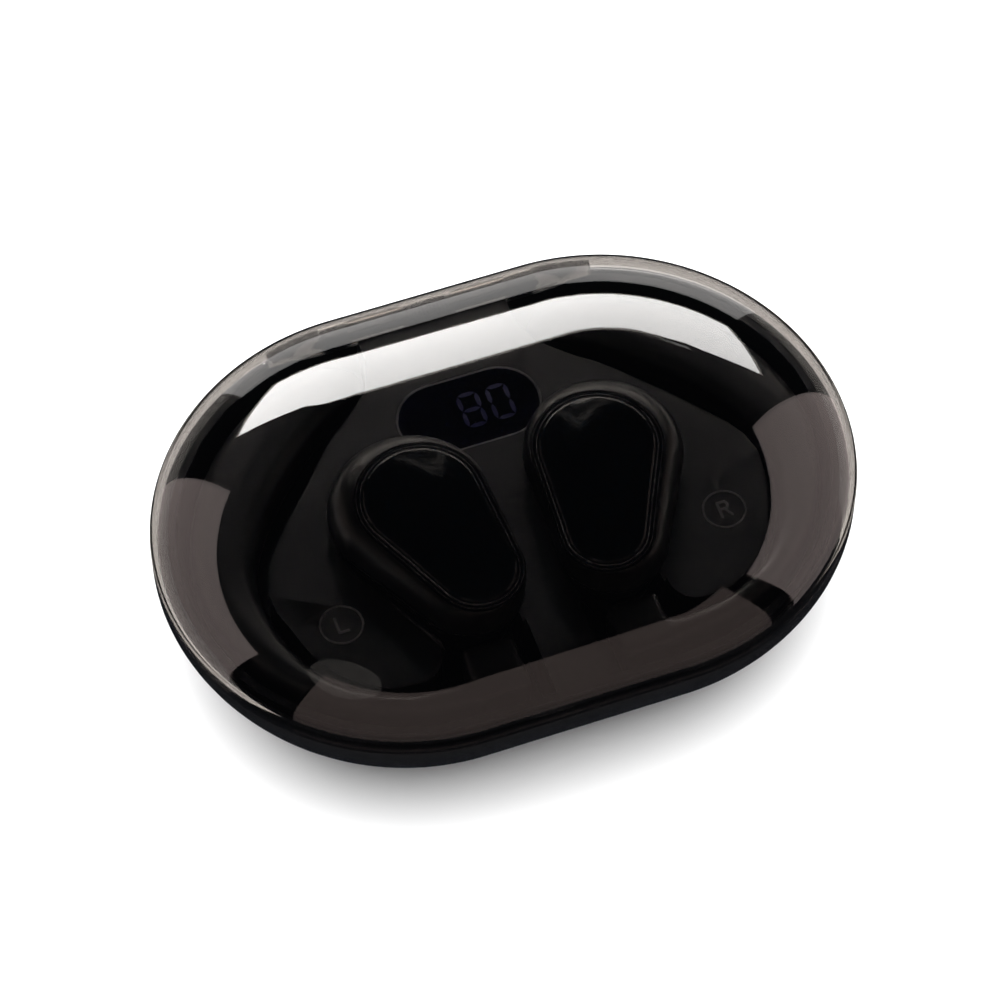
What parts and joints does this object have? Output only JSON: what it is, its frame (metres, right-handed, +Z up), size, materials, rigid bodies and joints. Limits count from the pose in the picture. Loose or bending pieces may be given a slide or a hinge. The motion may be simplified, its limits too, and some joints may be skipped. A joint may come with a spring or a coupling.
{
  "type": "wireless earbuds case",
  "caption": "Pebble-shaped charging case with a hinged smoked clear lid over a pair of ear-hook earbuds seated in a tray, with a charge display and sprung charging pins.",
  "frame": {"origin": "under the middle of the case, on the surface that it stands on", "axes": "+X along the case to its right end, +Y towards the lid's hinge, +Z up"},
  "size_m": [0.086, 0.061, 0.031],
  "materials": {
    "lid_plastic": "smoked clear polycarbonate, polished",
    "base_plastic": "piano black gloss",
    "tray_plastic": "fine satin texture",
    "bud_gloss": "polished black touch face",
    "bud_plastic": "satin black",
    "soft_rubber": "matte silicone",
    "display_glass": "dark blue tinted lens",
    "steel": "plain steel",
    "gold": "gold plated",
    "circuit_board": "solder mask",
    "cell_wrap": "foil laminate",
    "foam": "open foam"
  },
  "bodies": {
    "case": {"base_shell": "base_plastic", "inner_tray": "tray_plastic", "hinge_pin": "steel", "hinge_spring": "steel", "display_window": "display_glass", "display_module": "bud_plastic", "display_flex": "gold", "marker_left": "tray_plastic", "marker_right": "tray_plastic", "main_board": "circuit_board", "charge_controller": "bud_plastic", "inductor": "foam", "board_screw_left": "steel", "board_screw_right": "steel", "case_battery": "cell_wrap", "battery_pad": "foam", "usb_shell": "steel", "usb_tongue": "bud_plastic", "left_pin_block": "bud_plastic", "left_case_magnet": "steel", "right_pin_block": "bud_plastic", "right_case_magnet": "steel"},
    "lid": {"lid_shell": "lid_plastic"},
    "left_bud": {"left_faceplate": "bud_gloss", "left_trim_ring": "bud_gloss", "left_outer_shell": "bud_plastic", "left_inner_shell": "bud_plastic", "left_nozzle": "bud_plastic", "left_nozzle_mesh": "steel", "left_ear_tip": "soft_rubber", "left_ear_hook": "soft_rubber", "left_driver": "steel", "left_cell": "cell_wrap", "left_bud_board": "circuit_board", "left_bud_magnet": "steel", "left_contact_1": "gold", "left_contact_2": "gold"},
    "right_bud": {"right_faceplate": "bud_gloss", "right_trim_ring": "bud_gloss", "right_outer_shell": "bud_plastic", "right_inner_shell": "bud_plastic", "right_nozzle": "bud_plastic", "right_nozzle_mesh": "steel", "right_ear_tip": "soft_rubber", "right_ear_hook": "soft_rubber", "right_driver": "steel", "right_cell": "cell_wrap", "right_bud_board": "circuit_board", "right_bud_magnet": "steel", "right_contact_1": "gold", "right_contact_2": "gold"},
    "left_pin_1": {"left_plunger_1": "gold"},
    "left_pin_2": {"left_plunger_2": "gold"},
    "right_pin_1": {"right_plunger_1": "gold"},
    "right_pin_2": {"right_plunger_2": "gold"}
  },
  "joints": [
    {"name": "lid_hinge", "type": "hinge", "parent": "case", "child": "lid", "pos_m": [0, 0.0292, 0.0202], "axis": [-1, 0, 0], "range_deg": [0, 100]},
    {"name": "left_bud_lift", "type": "slide", "parent": "case", "child": "left_bud", "axis": [0, 0, 1], "range_m": [0, 0.0009]},
    {"name": "right_bud_lift", "type": "slide", "parent": "case", "child": "right_bud", "axis": [0, 0, 1], "range_m": [0, 0.0009]},
    {"name": "left_pin_1_travel", "type": "slide", "parent": "case", "child": "left_pin_1", "axis": [0, 0, 1], "range_m": [-0.0008, 0], "stiffness_N_per_m": 60},
    {"name": "left_pin_2_travel", "type": "slide", "parent": "case", "child": "left_pin_2", "axis": [0, 0, 1], "range_m": [-0.0008, 0], "stiffness_N_per_m": 60},
    {"name": "right_pin_1_travel", "type": "slide", "parent": "case", "child": "right_pin_1", "axis": [0, 0, 1], "range_m": [-0.0008, 0], "stiffness_N_per_m": 60},
    {"name": "right_pin_2_travel", "type": "slide", "parent": "case", "child": "right_pin_2", "axis": [0, 0, 1], "range_m": [-0.0008, 0], "stiffness_N_per_m": 60}
  ]
}
